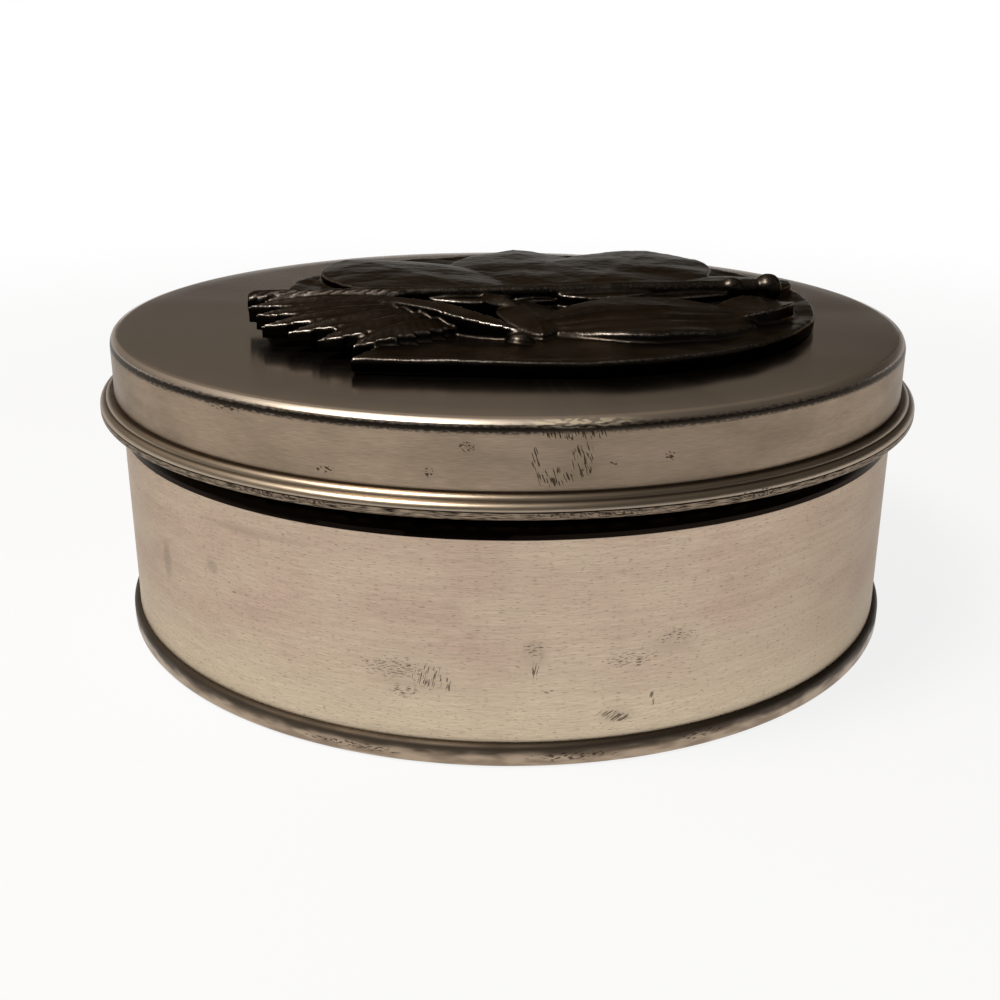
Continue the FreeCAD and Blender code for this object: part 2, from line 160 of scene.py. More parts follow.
# Styles: how far the face falls to the sides (crown) and to the ends (arch), how rounded the ends are, side
# veins, midrib, teeth, lengthwise grooves, terraces, and how far below the plaque's face the underside lies.
PLAIN = {"crown": CROWN, "arch": ARCH, "round": 0.2, "veins": 0, "vein_depth": 0.0, "midrib": 0.0,
         "teeth": 0, "bite": 0.0, "grooves": 0, "groove_depth": 0.0, "terraces": 0, "under": 0.4}
STYLES = {
    "broad": PLAIN | {"round": 0.85, "veins": 6, "vein_depth": 0.06, "midrib": 0.08},
    "smooth": PLAIN | {"midrib": 0.2},
    "trough": PLAIN | {"crown": -0.5, "round": 0.6},
    "shell": PLAIN | {"crown": 0.0, "round": 0.6, "terraces": 5},
    "frond": PLAIN | {"arch": DROOP, "round": -0.2, "veins": 15, "vein_depth": 0.18, "teeth": 8,
                      "bite": 0.3, "grooves": 2, "groove_depth": 0.3, "under": 1.1},
    "barb": PLAIN | {"crown": 0.35, "round": 0.0, "midrib": 0.2, "under": -0.4},
}
TERRACE_RISE = 0.36
BARBS = 13
BARB_LENGTH = 6.0
BARB_BOW = 0.7
BARB_RISE = 2.8
BARB_STEP = 0.1              # how much every second and third barb rises more
BARB_END = (-20.0, -9.2)     # where the row ends on the stem
BARB_SHIFT = (1.4, 0.9)      # from the stem's middle line to a barb's root
BARB_LEAN = (-0.80, -0.60)

# The casting: how finely it is fused, what share of its faces is kept, and the unevenness of its surface,
# which sets in between two heights over the lid
VOXEL = 0.25
KEPT_FACES = 0.42
UNEVEN_SEED = 5
UNEVEN_LOW = 0.3
UNEVEN_HIGH = 1.6
BROAD_SCALE = 0.13
BROAD_DEPTH = 0.32
FINE_SCALE = 0.7
FINE_DEPTH = 0.05


def build_camera():
    """The view from the front, about nineteen degrees above the level."""
    data = bpy.data.cameras.new("camera")
    camera = bpy.data.objects.new("camera", data)
    bpy.context.scene.collection.objects.link(camera)
    pitch = math.radians(19.15)
    distance = 0.2114
    roll = 0.0067
    aim = Vector((0.0, 0.0, 0.01804))
    camera.location = aim + distance * Vector((0.0, -math.cos(pitch), math.sin(pitch)))
    camera.rotation_mode = "QUATERNION"
    level = Quaternion((1.0, 0.0, 0.0), math.radians(90.0) - pitch)
    camera.rotation_quaternion = level @ Quaternion((0.0, 0.0, 1.0), roll)
    data.sensor_width = 36.0
    data.lens = 44.317
    data.shift_x = -0.00689
    data.shift_y = -0.0247
    bpy.context.scene.camera = camera


# Meshes turned about the axis

def arc_between(start, end, radius, bow):
    """Points after start, up to end, on the arc of this radius that bulges to the right (1) or left (-1)."""
    chord = end - start
    half = chord.length / 2.0
    right = Vector((chord.y, -chord.x)).normalized()
    centre = (start + end) / 2.0 - right * (bow * math.sqrt(radius * radius - half * half))
    first = math.atan2(start.y - centre.y, start.x - centre.x)
    turn = 2.0 * math.asin(half / radius) * bow
    steps = max(3, round(abs(turn) / ARC_STEP))
    angles = [first + turn * (i + 1) / steps for i in range(steps)]
    return [centre + radius * Vector((math.cos(a), math.sin(a))) for a in angles]


def section(corners):
    """A half section from corners (radius, height), or (radius, height, arc radius, bow) before an arc."""
    points = [Vector(corners[0][:2])]
    for corner, follower in zip(corners, corners[1:]):
        start = Vector(corner[:2])
        end = Vector(follower[:2])
        if len(corner) == 4:
            points += arc_between(start, end, corner[2], corner[3])
        else:
            steps = max(1, math.ceil((end - start).length / LONGEST))
            points += [start.lerp(end, (i + 1) / steps) for i in range(steps)]
    return points


def soft_dent(angle, height, radius):
    """The slight unevenness of thin sheet, from 0 to 1, round the axis and along the section."""
    along = (height + radius) / DENT_WAVE
    wave = math.sin(2.0 * angle + 0.4) * math.sin(along + 1.3) + 0.6 * math.sin(5.0 * angle + 0.7 * along)
    wave += 0.4 * math.sin(11.0 * angle - 1.7 * along + 2.0)
    return 0.5 + wave / 4.0


def turned_mesh(name, corners, uneven):
    """A closed mesh of revolution about Z, from the axis back to the axis, with its unevenness."""
    verts = []
    faces = []
    rings = []
    for point in section(corners):
        if point.x < 1e-7:
            rings.append([len(verts)])
            verts.append((0.0, 0.0, point.y))
            continue
        rings.append(range(len(verts), len(verts) + SEGMENTS))
        for i in range(SEGMENTS):
            angle = 2.0 * math.pi * i / SEGMENTS
            dent = uneven(point) * soft_dent(angle, point.y, point.x)
            radius = point.x - dent
            height = point.y - dent if point.y > RECESS else point.y
            verts.append((radius * math.cos(angle), radius * math.sin(angle), height))
    for ring, follower in zip(rings, rings[1:]):
        for i in range(SEGMENTS):
            j = (i + 1) % SEGMENTS
            if len(ring) == 1:
                faces.append((ring[0], follower[j], follower[i]))
            elif len(follower) == 1:
                faces.append((ring[i], ring[j], follower[0]))
            else:
                faces.append((ring[i], ring[j], follower[j], follower[i]))
    return mesh_object(name, verts, faces)


def mesh_object(name, verts, faces):
    """A piece with its faces turned outwards, smooth but for its sharp folds."""
    mesh = bpy.data.meshes.new(name)
    mesh.from_pydata(verts, [], faces)
    mesh.validate()
    solid = bmesh.new()
    solid.from_mesh(mesh)
    bmesh.ops.recalc_face_normals(solid, faces=solid.faces)
    solid.to_mesh(mesh)
    solid.free()
    mesh.polygons.foreach_set("use_smooth", [True] * len(mesh.polygons))
    mesh.set_sharp_from_angle(angle=SHARP_ANGLE)
    piece = bpy.data.objects.new(name, mesh)
    bpy.context.scene.collection.objects.link(piece)
    return piece


def build_bottom_end():
    """The rolled ring round the foot, with the recessed panel and its bead."""
    inner = WALL + SEAM_GAP
    stand_inner = RING_RADIUS - RING_WIDTH
    bead_outer = WALL - BEAD_INSET + BEAD_WIDTH / 2.0
    bead_inner = bead_outer - BEAD_WIDTH
    bead_top = RECESS + BEAD_DEPTH
    corners = [
        (0.0, RECESS),
        (bead_inner, RECESS),
        (bead_inner + BEAD_DEPTH, bead_top),
        (bead_outer - BEAD_DEPTH, bead_top),
        (bead_outer, RECESS),
        (stand_inner, RECESS),
        (stand_inner, RING_INNER, RING_INNER, 1),
        (stand_inner + RING_INNER, 0.0),
        (RING_RADIUS - RING_FOOT, 0.0, RING_FOOT, 1),
        (RING_RADIUS, RING_FOOT),
        (RING_RADIUS, RING_HEIGHT - RING_TOP, RING_TOP, 1),
        (RING_RADIUS - RING_TOP, RING_HEIGHT),
        (inner, RING_HEIGHT),
        (inner, PANEL_TOP),
        (0.0, PANEL_TOP),
    ]
    return turned_mesh("foot_ring", corners, lambda point: 0.0)


def build_body():
    """The wall, the groove over it, the mouth inside the lid, and the side seam."""
    groove = WALL - GROOVE_DEPTH
    floor_low = WALL_TOP + GROOVE_SLOPE
    floor_high = floor_low + GROOVE_FLOOR
    corners = [
        (0.0, PANEL_TOP),
        (WALL, PANEL_TOP),
        (WALL, WALL_TOP, GROOVE_BOW, 1),
        (groove, floor_low),
        (groove, floor_high),
        (MOUTH, floor_high + GROOVE_SLOPE),
        (MOUTH, MOUTH_TOP - MOUTH_ROUND, MOUTH_ROUND, 1),
        (MOUTH - MOUTH_ROUND, MOUTH_TOP),
        (0.0, MOUTH_TOP),
    ]

    def uneven(point):
        return UNEVEN if WALL - MM < point.x < WALL + NEAR and PANEL_TOP < point.y < WALL_TOP else 0.0

    body = turned_mesh("body_wall", corners, uneven)
    seam = side_seam_mesh()
    join([body, seam])
    return body


def side_seam_mesh():
    """The lapped seam: a low strip with softly rounded long edges, lying on the wall at the back."""
    low = RING_HEIGHT + SEAM_CLEAR
    high = WALL_TOP - SEAM_CLEAR
    across = [(-1.0, -1.0), (-1.0, 0.4), (-0.88, 0.85), (-0.7, 1.0), (0.7, 1.0), (0.88, 0.85), (1.0, 0.4),
              (1.0, -1.0)]
    levels = [low, low + SEAM_RISE, high - SEAM_RISE, high]
    rises = [0.2, 1.0, 1.0, 0.2]
    verts = []
    for level, rise in zip(levels, rises):
        for side, out in across:
            angle = side * SEAM_HALF / WALL
            radius = WALL + SEAM_RISE * (out * rise if out > 0.0 else out)
            verts.append((radius * math.sin(angle), radius * math.cos(angle), level))
    count = len(across)
    faces = [tuple(range(count)), tuple(range(len(verts) - 1, len(verts) - 1 - count, -1))]
    for row in range(len(levels) - 1):
        for i in range(count):
            j = (i + 1) % count
            faces.append((row * count + i, row * count + j, (row + 1) * count + j, (row + 1) * count + i))
    return mesh_object("side_seam", verts, faces)


def build_lid():
    """The lid: a thin sheet with a soft bend and, low down, two rolls over a flat hem."""
    inner = LID_WALL - LID_SHEET
    under = LID_TOP - LID_SHEET
    bend = LID_BEND - LID_SHEET
    crease = CURL_LOW + CURL_HEM
    shoulder = CURL_LOW + SHOULDER_HEIGHT
    corners = [
        (0.0, under),
        (inner - bend, under, bend, -1),
        (inner, under - bend),
        (inner, CURL_LOW + CURL_INNER, CURL_INNER, -1),
        (inner + CURL_INNER, CURL_LOW),
        (CURL - CURL_FOOT, CURL_LOW, CURL_FOOT, 1),
        (CURL, CURL_LOW + CURL_FOOT),
        (CURL, crease),
        (CURL - CREASE_DEPTH, crease + CREASE_HEIGHT / 2.0),
        (CURL, crease + CREASE_HEIGHT, CURL_ROLL, 1),
        (CURL - SHOULDER_INSET, shoulder),
        (CURL - SHOULDER_INSET - CREASE_DEPTH, shoulder + CREASE_HEIGHT / 2.0, CURL_ROLL, 1),
        (LID_WALL, CURL_LOW + CURL_HEIGHT),
        (LID_WALL, LID_TOP - LID_BEND, LID_BEND, 1),
        (LID_WALL - LID_BEND, LID_TOP),
        (0.0, LID_TOP),
    ]

    def uneven(point):
        on_wall = point.x > inner + NEAR and CURL_LOW + CURL_HEIGHT < point.y
        return UNEVEN if on_wall or point.y > LID_TOP - NEAR else 0.0

    return turned_mesh("slip_lid", corners, uneven)


def join(pieces):
    """Join the later pieces' meshes into the first."""
    with bpy.context.temp_override(active_object=pieces[0], selected_editable_objects=pieces):
        bpy.ops.object.join()


# The medallion

def from_edge(angle, inset):
    """The point at an angle about the plaque's centre, this far inside its round edge."""
    turned = math.radians(angle)
    return (PLAQUE_RADIUS - inset) * Vector((math.cos(turned), math.sin(turned)))


def smooth_step(value, low, high):
    """0 below low, 1 above high, and a soft slope between."""
    share = min(max((value - low) / (high - low), 0.0), 1.0)
    return share * share * (3.0 - 2.0 * share)


def plaque_outline():
    """The round edge anticlockwise from the front to the cut-off left, then the notch and the spur."""
    points = [from_edge(angle, 0.0) for angle in range(-90, int(NOTCH_END))]
    corners = [from_edge(NOTCH_END, 0.0), from_edge(-NOTCH_END, 0.0), from_edge(*NOTCH), from_edge(*SPUR)]
    for start, end in zip(corners, corners[1:] + points[:1]):
        steps = math.ceil((end - start).length)
        points += [start.lerp(end, i / steps) for i in range(steps)]
    return points


def inside_hollow(x, y):
    """How far a point lies inside the sunk three-cornered field; negative outside it."""
    depth = PLAQUE_RADIUS
    for i in range(3):
        start = Vector(HOLLOW[i])
        along = (Vector(HOLLOW[(i + 1) % 3]) - start).normalized()
        offset = Vector((x, y)) - start
        depth = min(depth, along.x * offset.y - along.y * offset.x)
    return depth


def add_plaque(casting):
    """The plaque: a soft lip round its edge, an uneven field, and the hollow."""
    outline = plaque_outline()
    edge = PLAQUE_EDGE / PLAQUE_RADIUS
    rows = [(1.0 - edge, 0.0), (1.0, PLAQUE_EDGE), (1.0, PLAQUE_THICK - PLAQUE_EDGE),
            (1.0 - 0.3 * edge, PLAQUE_THICK - 0.3 * PLAQUE_EDGE), (1.0 - edge, PLAQUE_THICK)]
    rows += [(1.0 - 2.0 * edge - i / (FIELD_ROWS + 1.0), None) for i in range(FIELD_ROWS)]
    rings = []
    for scale, height in rows:
        ring = []
        for point in outline:
            x, y = point * scale
            top = PLAQUE_THICK - LIP * smooth_step(1.0 - scale, 0.03, 0.06)
            top += 0.05 * math.sin(0.9 * x + 0.5 * y) * math.sin(0.7 * y - 0.4 * x)
            top -= HOLLOW_DEPTH * smooth_step(inside_hollow(x, y), 0.0, 0.8)
            ring.append(casting.verts.new((x, y, top if height is None else height)))
        rings.append(ring)
    close_rings(casting, rings)


def close_rings(casting, rings):
    """Quads between the rings, and a face across each end."""
    count = len(rings[0])
    for ring, follower in zip(rings, rings[1:]):
        for i in range(count):
            j = (i + 1) % count
            casting.faces.new((ring[i], ring[j], follower[j], follower[i]))
    casting.faces.new(rings[0][::-1])
    casting.faces.new(rings[-1])


def edge_reach(share, length, bow, rounded):
    """How far a leaf's edge lies from the line between root and tip: a flat arc, rounded to an oval."""
    radius = (length * length / 4.0 + bow * bow) / (2.0 * bow)
    offset = (share - 0.5) * length
    arc = math.sqrt(radius * radius - offset * offset) - (radius - bow)
    oval = bow * math.sqrt(max(1.0 - (2.0 * share - 1.0) ** 2, 0.0))
    return max(arc + rounded * (oval - arc), LEAF_EDGE)


def add_leaf(casting, root, tip, bows, rise, style):
    """A closed leaf with a shaped upper face, from its root to its tip."""
    length = (tip - root).length
    direction = (tip - root) / length
    side = Vector((-direction.y, direction.x))
    under = PLAQUE_THICK - style["under"]
    rows = []
    for i in range(ALONG_STEPS + 1):
        share = i / ALONG_STEPS
        left = edge_reach(share, length, bows[0], style["round"])
        right = edge_reach(share, length, bows[1], style["round"])
        width = (left + right) / (bows[0] + bows[1])
        tooth = 1.0 - style["bite"] * ((share * style["teeth"]) % 1.0)
        top = []
        for j in range(ACROSS_STEPS + 1):
            cross = 2.0 * j / ACROSS_STEPS - 1.0
            spread = (left + right) / 2.0 * cross * (1.0 + (tooth - 1.0) * cross ** 4)
            place = root + direction * (share * length) + side * (spread + (left - right) / 2.0)
            height = PLAQUE_THICK + rise + leaf_height(share, cross, width, style)
            top.append(casting.verts.new((place.x, place.y, max(height, under + LEAF_THICK))))
        ends = [casting.verts.new((v.co.x, v.co.y, under)) for v in (top[-1], top[0])]
        rows.append(top + ends)
    close_rings(casting, rows)


def leaf_height(share, cross, width, style):
    """Height of a leaf's face against its middle: crown, arch, midrib, veins, grooves and terraces."""
    middle = abs(cross)
    height = -style["crown"] * width * cross * cross - style["arch"] * (2.0 * share - 1.0) ** 2
    height += style["midrib"] * math.exp(-(cross / 0.07) ** 2)
    if style["veins"]:
        wave = abs(math.sin(math.pi * (share * style["veins"] - 1.4 * middle)))
        height -= style["vein_depth"] * (1.0 - wave) ** 3 * smooth_step(middle, 0.04, 0.15)
    height -= style["groove_depth"] * (0.5 - 0.5 * math.cos(math.pi * (cross + 1.0) * style["grooves"]))
    if style["terraces"]:
        level = (cross + 1.0) / 2.0 * style["terraces"]
        stair = math.floor(level) + smooth_step(level % 1.0, 0.0, 0.12)
        line = math.exp(-((level % 1.0) / 0.1) ** 2) if level > 0.9 else 0.0
        height += TERRACE_RISE * (min(stair, style["terraces"] - 1.0) - 1.0) - 0.12 * line
    return height


def add_stem(casting):
    """The stem with the berry at its right end, the bud beside it and the knot by the ribbon's tip."""
    height = PLAQUE_THICK + STEM_HEIGHT
    left = from_edge(*STEM_LEFT).to_3d() + Vector((0.0, 0.0, height))
    right = from_edge(*STEM_RIGHT).to_3d() + Vector((0.0, 0.0, height))
    direction = (right - left).normalized()
    turn = Vector((0.0, 0.0, 1.0)).rotation_difference(direction).to_matrix().to_4x4()
    middle = Matrix.Translation((left + right) / 2.0) @ turn
    bmesh.ops.create_cone(casting, cap_ends=True, segments=32, radius1=STEM_RADIUS * STEM_TAPER[0],
                          radius2=STEM_RADIUS * STEM_TAPER[1], depth=(right - left).length, matrix=middle)
    knot = from_edge(*LEAVES["ribbon"][2:4]).to_3d() + Vector((0.0, 0.0, PLAQUE_THICK))
    balls = ((right, BERRY_RADIUS, 1.0), (right - direction * BUD_STEP, BUD_RADIUS, 1.0),
             (knot, KNOT_RADIUS, KNOT_FLAT))
    for place, radius, height_share in balls:
        flatten = Matrix.Diagonal((1.0, 1.0, height_share, 1.0))
        bmesh.ops.create_uvsphere(casting, u_segments=32, v_segments=20, radius=radius,
                                  matrix=Matrix.Translation(place) @ flatten)


def add_barbs(casting):
    """The row of short barbs along the stem's left end, over the fronds."""
    start = from_edge(*STEM_LEFT)
    end = Vector(BARB_END)
    for i in range(BARBS):
        root = start.lerp(end, (i + 0.6) / BARBS) + Vector(BARB_SHIFT)
        tip = root + BARB_LENGTH * Vector(BARB_LEAN)
        rise = BARB_RISE + BARB_STEP * (i % 3)
        add_leaf(casting, root, tip, (BARB_BOW, BARB_BOW), rise, STYLES["barb"])


def add_fusing(model):
    """Fuse what overlaps into one skin, with softened edges."""
    fuse = model.modifiers.new("fuse", "REMESH")
    fuse.mode = "VOXEL"
    fuse.voxel_size = VOXEL
    relax = model.modifiers.new("relax", "SMOOTH")
    relax.factor = 0.5
    relax.iterations = 2


def add_thinning(model):
    """Keep only the faces that the shape needs, and even out what that leaves."""
    model.modifiers.new("thin", "DECIMATE").ratio = KEPT_FACES
    relax = model.modifiers.new("relax", "SMOOTH")
    relax.factor = 0.4
    relax.iterations = 1


def modified(mesh, add_modifiers):
    """The mesh that modifiers make of another mesh, which is used up."""
    model = bpy.data.objects.new("casting_raw", mesh)
    bpy.context.scene.collection.objects.link(model)
    add_modifiers(model)
    graph = bpy.context.evaluated_depsgraph_get()
    result = bpy.data.meshes.new_from_object(model.evaluated_get(graph))
    bpy.data.objects.remove(model)
    bpy.data.meshes.remove(mesh)
    return result


def build_medallion():
    """One casting: closed solids, fused by a fine remesh, made slightly uneven and thinned."""
    casting = bmesh.new()
    add_plaque(casting)
    for row in LEAVES.values():
        add_leaf(casting, Vector(row[0:2]), from_edge(row[2], row[3]), row[4:6], row[6], STYLES[row[7]])
    add_stem(casting)
    add_barbs(casting)
    bmesh.ops.recalc_face_normals(casting, faces=casting.faces)
    raw = bpy.data.meshes.new("casting_raw")
    casting.to_mesh(raw)
    casting.free()
    fused = modified(raw, add_fusing)
    seed_set(UNEVEN_SEED)
    for vertex in fused.vertices:
        lift = smooth_step(vertex.co.z, UNEVEN_LOW, UNEVEN_HIGH)
        broad = noise_vector(vertex.co * BROAD_SCALE) * BROAD_DEPTH
        fine = noise_vector(vertex.co * FINE_SCALE) * FINE_DEPTH
        vertex.co += (broad + fine) * lift
    mesh = modified(fused, add_thinning)
    low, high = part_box("medallion")
    centre = Vector((high.x - PLAQUE_RADIUS * MM, 0.0, low.z))
    mesh.transform(Matrix.Translation(centre) @ Matrix.Scale(MM, 4))
    for vertex in mesh.vertices:
        vertex.co = [min(max(vertex.co[i], low[i]), high[i]) for i in range(3)]
    mesh.polygons.foreach_set("use_smooth", [True] * len(mesh.polygons))
    mesh.name = "leaf_medallion"
    piece = bpy.data.objects.new("leaf_medallion", mesh)
    bpy.context.scene.collection.objects.link(piece)
    return piece


# Materials

class Nodes:
    """A node tree under construction: each call adds a node and returns its output."""

    def __init__(self, tree):
        self.tree = tree

    def feed(self, socket, value):
        """Link an output to a socket, or set a plain value."""
        if isinstance(value, bpy.types.NodeSocket):
            self.tree.links.new(value, socket)
        else:
            socket.default_value = value

    def math(self, operation, first, second=0.0):
        node = self.tree.nodes.new("ShaderNodeMath")
        node.operation = operation
        self.feed(node.inputs[0], first)
        self.feed(node.inputs[1], second)
        return node.outputs[0]

    def step(self, value, low, high, start=0.0, end=1.0):
        node = self.tree.nodes.new("ShaderNodeMapRange")
        node.interpolation_type = "SMOOTHSTEP"
        for name, number in (("From Min", low), ("From Max", high), ("To Min", start), ("To Max", end)):
            node.inputs[name].default_value = number
        self.feed(node.inputs["Value"], value)
        return node.outputs[0]

    def vector(self, operation, first, second):
        node = self.tree.nodes.new("ShaderNodeVectorMath")
        node.operation = operation
        self.feed(node.inputs[0], first)
        self.feed(node.inputs[1], second)
        return node.outputs["Value" if operation == "LENGTH" else "Vector"]

    def noise(self, vector, detail=1.0, roughness=0.5, dimensions="3D"):
        node = self.tree.nodes.new("ShaderNodeTexNoise")
        node.noise_dimensions = dimensions
        node.inputs["Scale"].default_value = 1.0
        node.inputs["Detail"].default_value = detail
        node.inputs["Roughness"].default_value = roughness
        self.feed(node.inputs["Vector"], vector)
        return node.outputs["Fac"]

    def mix(self, factor, first, second):
        node = self.tree.nodes.new("ShaderNodeMix")
        node.data_type = "RGBA"
        self.feed(node.inputs[0], factor)
        self.feed(node.inputs[6], first)
        self.feed(node.inputs[7], second)
        return node.outputs[2]

    def scaled(self, colour, amount):
        node = self.tree.nodes.new("ShaderNodeVectorMath")
        node.operation = "SCALE"
        self.feed(node.inputs[0], colour)
        self.feed(node.inputs["Scale"], amount)
        return node.outputs["Vector"]

    def axes(self, vector):
        """A vector's x, y and z."""
        split = self.tree.nodes.new("ShaderNodeSeparateXYZ")
        self.feed(split.inputs[0], vector)
        return split.outputs


class Finish(Nodes):
    """The nodes of a material."""

    def __init__(self, name):
        self.material = bpy.data.materials.new(name)
        self.material.use_nodes = True
        super().__init__(self.material.node_tree)
        self.shader = self.tree.nodes["Principled BSDF"]

    def place(self):
        """The object's own coordinates in millimetres."""
        return self.scaled(self.tree.nodes.new("ShaderNodeTexCoord").outputs["Object"], 1.0 / MM)

    def unrolled(self, radius):
        """The wall laid flat, as a vector of millimetres round it from the middle of the front and
        height, and that height by itself."""
        x, y, z = self.axes(self.place())
        angle = self.math("ARCTAN2", x, self.math("MULTIPLY", y, -1.0))
        node = self.tree.nodes.new("ShaderNodeCombineXYZ")
        self.feed(node.inputs[0], self.math("MULTIPLY", angle, radius / MM))
        self.feed(node.inputs[1], z)
        return node.outputs[0], z

    def grain(self, vector, along, across, turn=0.0, detail=1.0):
        """Noise drawn out along a direction that is turned from the first axis."""
        node = self.tree.nodes.new("ShaderNodeMapping")
        node.vector_type = "TEXTURE"
        node.inputs["Rotation"].default_value = (0.0, 0.0, math.radians(turn))
        node.inputs["Scale"].default_value = (along, across, 1.0)
        self.feed(node.inputs["Vector"], vector)
        return self.noise(node.outputs[0], detail, 0.5, "2D")

    def patch(self, vector, centre, size):
        """A soft-edged oval, 1 in its middle."""
        offset = self.vector("SUBTRACT", vector, Vector(centre).to_3d())
        share = self.vector("DIVIDE", offset, (*size, 1.0)[:3])
        return self.step(self.vector("LENGTH", share, (0.0, 0.0, 0.0)), 0.35, 1.0, 1.0, 0.0)

    def line(self, value, centre, half):
        """1 where the value is at the centre, falling to 0 at this distance."""
        away = self.math("ABSOLUTE", self.math("SUBTRACT", value, centre))
        return self.step(away, 0.0, half, 1.0, 0.0)

    def marks(self, flat, groups):
        """Flecks and strokes: each group has the stroke's size, its turn, the cut, and soft patches."""
        total = 0.0
        for stroke, turn, cut, patches in groups:
            cover = 0.0
            for centre, size in patches:
                cover = self.math("MAXIMUM", cover, self.patch(flat, centre, size))
            level = self.math("ADD", self.grain(flat, *stroke, turn), self.math("MULTIPLY", cover, 0.16))
            inside = self.math("MULTIPLY", self.step(level, cut, cut + 0.06), self.step(cover, 0.03, 0.3))
            total = self.math("MAXIMUM", total, inside)
        return total

    def bump(self, height, strength, distance):
        node = self.tree.nodes.new("ShaderNodeBump")
        node.inputs["Strength"].default_value = strength
        node.inputs["Distance"].default_value = distance
        self.feed(node.inputs["Height"], height)
        self.feed(self.shader.inputs["Normal"], node.outputs[0])

    def metal(self, colour, roughness):
        """The finished material, a bare metal."""
        self.feed(self.shader.inputs["Base Color"], colour)
        self.feed(self.shader.inputs["Roughness"], roughness)
        self.shader.inputs["Metallic"].default_value = 1.0
        return self.material


# Colours
# grime for marks and specks, also used as painted shade in the lid's creases
GRIME_AND_CREASE_SHADE = (0.035, 0.023, 0.015, 1.0)
STAIN_AND_SHADE = (0.20, 0.155, 0.125, 1.0)
WALL_PALE = (0.555, 0.435, 0.325, 1.0)
WALL_ROSY = (0.53, 0.40, 0.305, 1.0)
# painted reflection of the bright floor, mixed into the wall towards its foot
WALL_FOOT_PAINTED_LIGHT = (0.63, 0.52, 0.375, 1.0)
# painted shade in the groove under the lid's curl
GROOVE_PAINTED_SHADE = (0.012, 0.008, 0.006, 1.0)
LID_PALE = (0.33, 0.25, 0.18, 1.0)
LID_DARK = (0.27, 0.205, 0.145, 1.0)
LID_TOP_PALE = (0.68, 0.58, 0.485, 1.0)
LID_TOP_DARK = (0.61, 0.515, 0.43, 1.0)
# painted dark reflection along the foot of the lid's bend
LID_BEND_PAINTED_DARK = (0.018, 0.013, 0.009, 1.0)
LID_CURL = (0.45, 0.365, 0.275, 1.0)
LID_HEM = (0.31, 0.24, 0.175)
# painted shade over the right of the lid's wall
LID_PAINTED_SHADE = (0.10, 0.075, 0.055, 1.0)
LID_WORN = (0.72, 0.62, 0.45, 1.0)
RING_PALE = (0.40, 0.31, 0.225, 1.0)
RING_DARK = (0.28, 0.21, 0.15, 1.0)
RING_UPPER_DARK = (0.06, 0.046, 0.034, 1.0)
PEWTER_DARK = (0.034, 0.027, 0.021, 1.0)
PEWTER_PALE = (0.060, 0.049, 0.040, 1.0)
PEWTER_RUBBED = (0.46, 0.41, 0.37, 1.0)
PEWTER_HOLLOW = (0.004, 0.003, 0.003, 1.0)

# Marks on the unrolled surface: size and turn of a stroke, cut, and the places and half sizes of patches
WALL_MARKS = [
    ((0.8, 0.16), 0.0, 0.735, [
        ((-14.5, 12.9), (6.5, 1.9)),
        ((-13.2, 9.8), (2.8, 1.6)),
        ((3.5, 16.4), (1.7, 1.5)),
        ((5.3, 10.4), (1.5, 0.4)),
        ((16.0, 14.2), (5.0, 1.5)),
        ((22.4, 16.7), (3.4, 1.5)),
        ((-38.0, 18.8), (2.4, 0.3)),
    ]),
    ((1.2, 0.18), 78.0, 0.70, [
        ((-7.3, 11.3), (0.5, 1.5)),
        ((3.7, 13.4), (0.7, 1.6)),
        ((-9.8, 12.2), (2.6, 2.4)),
        ((19.3, 8.1), (0.7, 1.3)),
    ]),
    ((2.4, 0.16), 34.0, 0.63, [
        ((13.3, 6.7), (2.0, 0.6)),
        ((14.8, 6.0), (2.2, 0.7)),
    ]),
]
# Smudges, and as the last one a broad patch of painted shade down the right side: place, half size, depth
WALL_SMUDGES_AND_SHADE = [
    ((-55.0, 18.6), (1.7, 4.2), 0.50),
    ((-42.9, 21.3), (1.7, 1.4), 0.45),
    ((-34.0, 28.2), (13.0, 0.8), 0.35),
    ((22.0, 15.8), (5.0, 2.4), 0.25),
    ((-12.0, 12.0), (7.5, 3.4), 0.22),
    ((3.6, 15.6), (2.4, 2.8), 0.30),
    ((14.5, 6.4), (3.4, 1.6), 0.30),
    # painted shade, not a stain: the right side darker where less light falls
    ((80.0, 16.0), (60.0, 36.0), 0.30),
]
LID_MARKS = [
    ((1.5, 0.20), -72.0, 0.685, [
        ((9.0, 41.5), (1.7, 3.0)),
        ((5.6, 39.5), (3.2, 1.5)),
        ((3.4, 41.8), (0.7, 1.9)),
        ((8.0, 44.7), (6.5, 0.8)),
    ]),
    ((0.5, 0.26), -25.0, 0.68, [
        ((12.9, 40.8), (0.9, 0.6)),
        ((19.9, 41.3), (1.0, 0.8)),
        ((-4.7, 43.2), (1.3, 0.8)),
        ((-9.3, 39.8), (0.9, 0.9)),
        ((-22.4, 39.1), (1.7, 0.7)),
        ((-38.0, 45.0), (4.5, 0.9)),
        ((9.5, 35.5), (10.0, 0.5)),
        ((31.5, 35.7), (4.0, 0.7)),
        ((-28.0, 35.6), (12.0, 0.5)),
    ]),
]
RING_MARKS = [
    ((0.8, 0.22), 8.0, 0.70, [
        ((8.5, 1.5), (7.5, 0.8)),
        ((26.5, 2.0), (4.0, 0.8)),
        ((-20.0, 1.4), (9.0, 0.7)),
    ]),
]

# Where the medallion is rubbed most: place over the plaque's centre and face, half size, how much
RUBBED = [
    ((-33.0, -11.6, 3.0), (15.5, 3.4, 2.5), 0.06),
    ((-31.0, -22.0, 2.0), (14.0, 12.0, 3.0), 0.012),
    ((-5.0, -29.5, 2.0), (7.0, 3.5, 2.0), 0.04),
]


def brushed(finish, flat, fine):
    """The fine lines of brushing round the wall, about 1 on average."""
    broad = finish.grain(flat, 22.0, 0.6)
    lines = finish.math("ADD", finish.math("MULTIPLY", fine, 0.50), finish.math("MULTIPLY", broad, 0.18))
    return finish.math("ADD", lines, 0.66)


